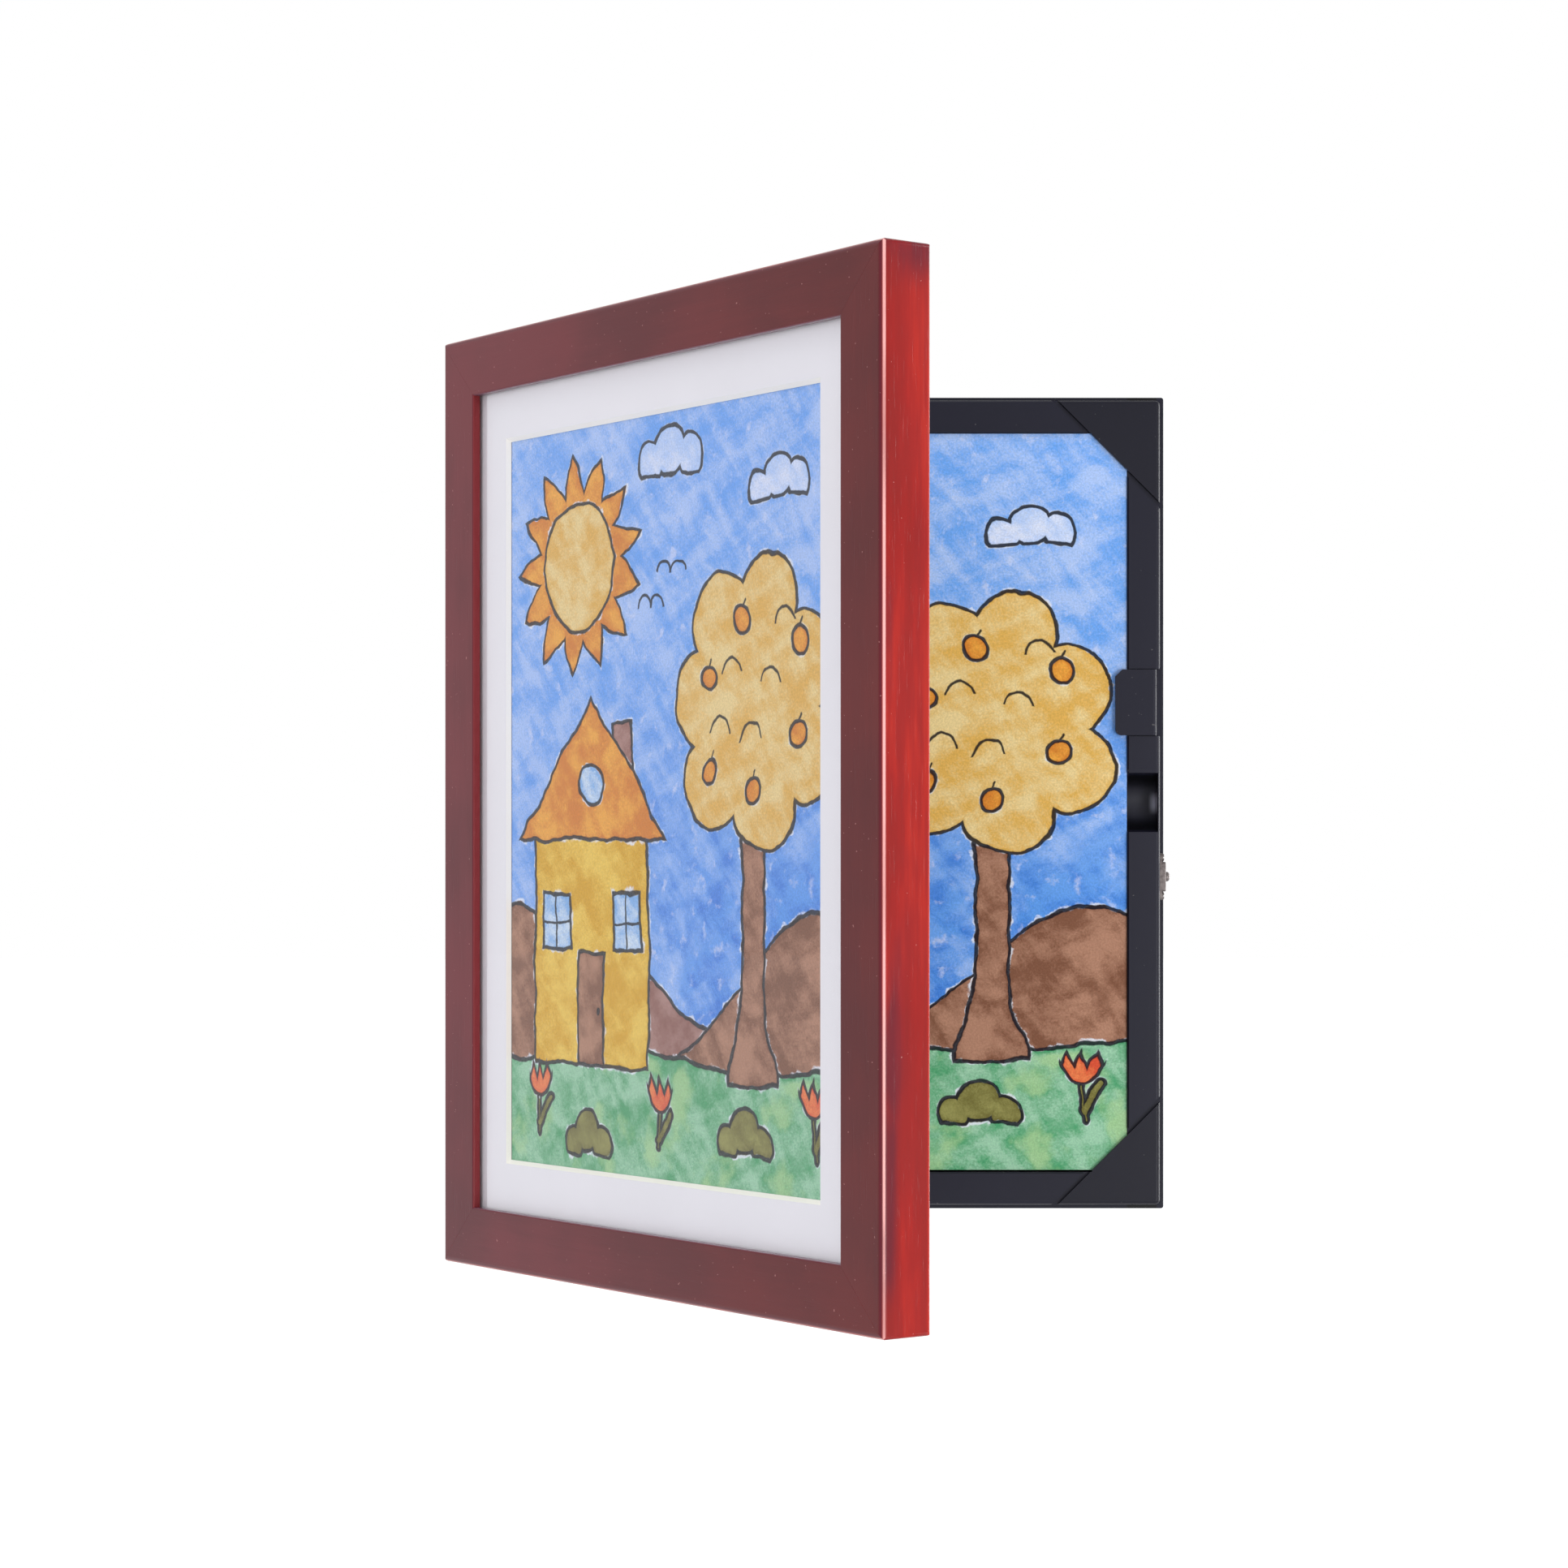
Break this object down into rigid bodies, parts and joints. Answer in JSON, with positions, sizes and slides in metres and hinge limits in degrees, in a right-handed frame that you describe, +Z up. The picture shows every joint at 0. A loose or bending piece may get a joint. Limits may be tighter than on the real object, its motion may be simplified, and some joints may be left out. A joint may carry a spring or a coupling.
{
  "type": "front-opening art storage frame",
  "caption": "Portrait picture frame whose glazed, matted wooden door swings open on a shallow black tray that stores sheets of children's art.",
  "frame": {"origin": "centre of the tray's back face, in the wall plane", "axes": "+X to the right of someone facing the frame, +Y into the wall, +Z up; the door is on the -Y side"},
  "size_m": [0.2756, 0.2372, 0.3486],
  "materials": {
    "cherry_wood": "cherry stain under satin lacquer",
    "black_plastic": "fine satin moulding",
    "clear_acrylic": "clear sheet",
    "mat_card": "smooth white mat board with a cream core",
    "printed_paper": "watercolour on paper",
    "plain_paper": "plain paper edges",
    "hardboard": "brown fibre board",
    "plated_steel": "zinc plated",
    "spring_steel": "bright drawn wire"
  },
  "bodies": {
    "tray_body": {"tray": "black_plastic", "corner_plate_top_right": "black_plastic", "corner_plate_top_left": "black_plastic", "corner_plate_bottom_left": "black_plastic", "corner_plate_bottom_right": "black_plastic", "upper_hinge_tray_leaf": "plated_steel", "lower_hinge_tray_leaf": "plated_steel", "upper_hinge_pin": "plated_steel", "lower_hinge_pin": "plated_steel", "upper_hinge_tray_screw_upper": "plated_steel", "upper_hinge_tray_screw_lower": "plated_steel", "lower_hinge_tray_screw_upper": "plated_steel", "lower_hinge_tray_screw_lower": "plated_steel", "catch_body": "plated_steel", "catch_spring": "spring_steel", "catch_screw_upper": "plated_steel", "catch_screw_lower": "plated_steel", "portrait_hanger": "plated_steel", "landscape_hanger": "plated_steel", "portrait_hanger_nail_upper": "plated_steel", "portrait_hanger_nail_lower": "plated_steel", "landscape_hanger_nail_upper": "plated_steel", "landscape_hanger_nail_lower": "plated_steel", "plate_spring_upper_right": "spring_steel", "plate_spring_upper_left": "spring_steel", "plate_spring_lower_left": "spring_steel", "plate_spring_lower_right": "spring_steel"},
    "door": {"hinge_stile": "cherry_wood", "latch_stile": "cherry_wood", "top_rail": "cherry_wood", "bottom_rail": "cherry_wood", "glazing": "clear_acrylic", "mat_board": "mat_card", "framed_sheet": "printed_paper", "backing_board": "hardboard", "strike_plate": "plated_steel", "backing_point_left_upper": "plated_steel", "backing_point_left_lower": "plated_steel", "backing_point_right_upper": "plated_steel", "backing_point_right_lower": "plated_steel", "backing_point_top": "plated_steel", "backing_point_bottom": "plated_steel", "strike_screw_upper": "plated_steel", "strike_screw_lower": "plated_steel", "upper_hinge_door_leaf": "plated_steel", "lower_hinge_door_leaf": "plated_steel", "upper_hinge_door_screw_upper": "plated_steel", "upper_hinge_door_screw_lower": "plated_steel", "lower_hinge_door_screw_upper": "plated_steel", "lower_hinge_door_screw_lower": "plated_steel"},
    "tab": {"side_tab": "black_plastic"},
    "nub": {"catch_nub": "plated_steel"},
    "sheet_carriage": {"pressure_plate": "black_plastic", "stored_sheets": "plain_paper", "front_sheet": "printed_paper"}
  },
  "joints": [
    {"name": "door_hinge", "type": "hinge", "parent": "tray_body", "child": "door", "pos_m": [-0.13276, -0.00955, 0], "axis": [0, 0, -1], "range_deg": [-53.67, 51.33]},
    {"name": "tab_slide", "type": "slide", "parent": "tray_body", "child": "tab", "axis": [1, 0, 0], "range_m": [0, 0.0046]},
    {"name": "nub_press", "type": "slide", "parent": "tray_body", "child": "nub", "axis": [-1, 0, 0], "range_m": [0, 0.0015], "stiffness_N_per_m": 800, "springref_m": -0.001, "deforming": ["catch_spring"]},
    {"name": "plate_press", "type": "slide", "parent": "tray_body", "child": "sheet_carriage", "axis": [0, 1, 0], "range_m": [0, 0.0048], "stiffness_N_per_m": 1500, "springref_m": -0.004, "deforming": ["plate_spring_upper_right", "plate_spring_upper_left", "plate_spring_lower_left", "plate_spring_lower_right"]}
  ]
}
